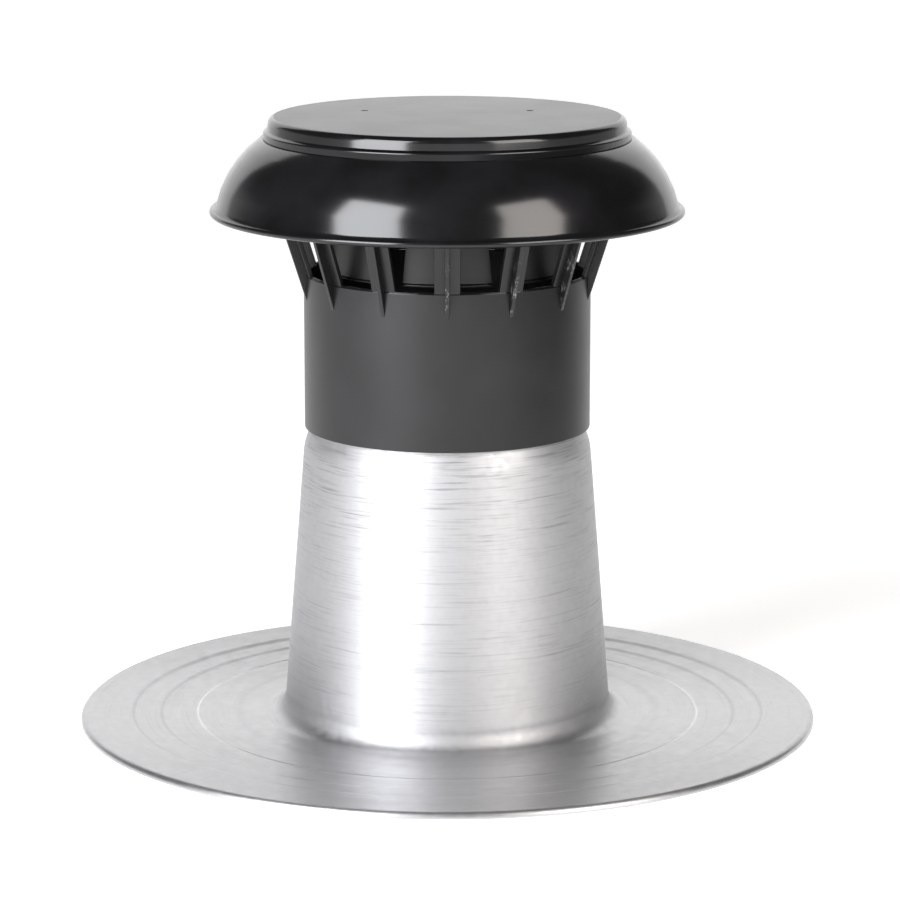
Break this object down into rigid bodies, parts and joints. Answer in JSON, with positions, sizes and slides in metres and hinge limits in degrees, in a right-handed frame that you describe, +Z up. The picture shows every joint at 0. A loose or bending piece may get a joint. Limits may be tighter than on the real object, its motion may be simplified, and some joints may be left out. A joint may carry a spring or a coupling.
{
  "type": "pipe flashing boot",
  "caption": "Spun metal roof flashing with a flat round flange and tapered stack, topped by a ventilated moulded cap with a domed rain hood and closed lid.",
  "frame": {"origin": "on the stack's axis, in the plane that the flange's turned-down rim stands on", "axes": "+Z up the stack towards the lid; one of the cap's fourteen fins faces -Y"},
  "size_m": [0.4473, 0.4474, 0.3678],
  "materials": {
    "spun_aluminium": "satin, with turning lines from spinning",
    "cap_plastic": "glossy hood, satin skirt",
    "lid_plastic": "glossy"
  },
  "bodies": {
    "root": {"flashing": "spun_aluminium", "vent_cap": "cap_plastic", "lid": "lid_plastic"}
  },
  "joints": []
}
